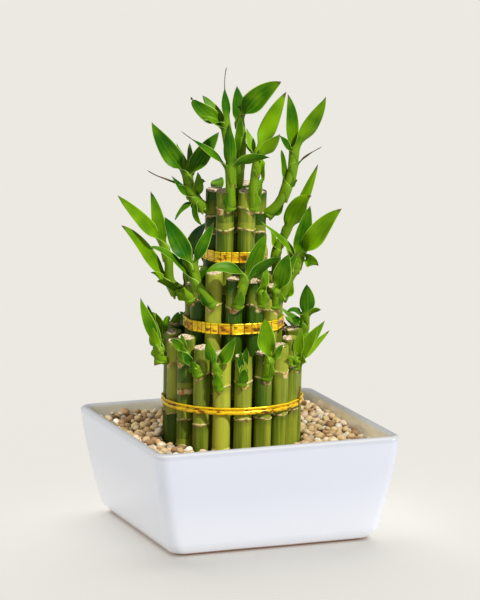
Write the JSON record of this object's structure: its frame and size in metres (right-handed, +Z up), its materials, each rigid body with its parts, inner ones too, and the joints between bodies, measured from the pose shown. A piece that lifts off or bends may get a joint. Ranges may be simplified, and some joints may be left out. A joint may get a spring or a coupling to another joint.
{
  "type": "lucky bamboo",
  "caption": "Three-tier round bundle of cut lucky bamboo canes with leafy shoots and gilt ties, standing in pebbles in a square glazed pot.",
  "frame": {"origin": "middle of the pot's underside, on the surface that the pot stands on", "axes": "+Z up along the pot's middle; X and Y square to the pot's sides, with -Y towards the side that shows widest from the front"},
  "size_m": [0.1578, 0.1578, 0.29],
  "materials": {
    "glaze": "white glossy glaze with a faint lavender tone, bare clay under the foot",
    "pebble": "tumbled beige, cream and grey river pebbles",
    "plant": "living green cane and leaf, waxy, with brown scars at the nodes",
    "gilt": "bright gilt wire and crimped gilt foil"
  },
  "bodies": {
    "root": {"pot": "glaze", "pebbles": "pebble", "tie_lower": "gilt", "tie_middle": "gilt", "tie_upper": "gilt", "cane_heart": "plant", "cane_inner_01": "plant", "cane_inner_02": "plant", "cane_inner_03": "plant", "cane_inner_04": "plant", "cane_inner_05": "plant", "cane_inner_06": "plant", "cane_middle_01": "plant", "cane_middle_02": "plant", "cane_middle_03": "plant", "cane_middle_04": "plant", "cane_middle_05": "plant", "cane_middle_06": "plant", "cane_middle_07": "plant", "cane_middle_08": "plant", "cane_middle_09": "plant", "cane_middle_10": "plant", "cane_middle_11": "plant", "cane_middle_12": "plant", "cane_outer_01": "plant", "cane_outer_02": "plant", "cane_outer_03": "plant", "cane_outer_04": "plant", "cane_outer_05": "plant", "cane_outer_06": "plant", "cane_outer_07": "plant", "cane_outer_08": "plant", "cane_outer_09": "plant", "cane_outer_10": "plant", "cane_outer_11": "plant", "cane_outer_12": "plant", "cane_outer_13": "plant", "cane_outer_14": "plant", "cane_outer_15": "plant", "cane_outer_16": "plant", "cane_outer_17": "plant", "cane_outer_18": "plant"}
  },
  "joints": []
}
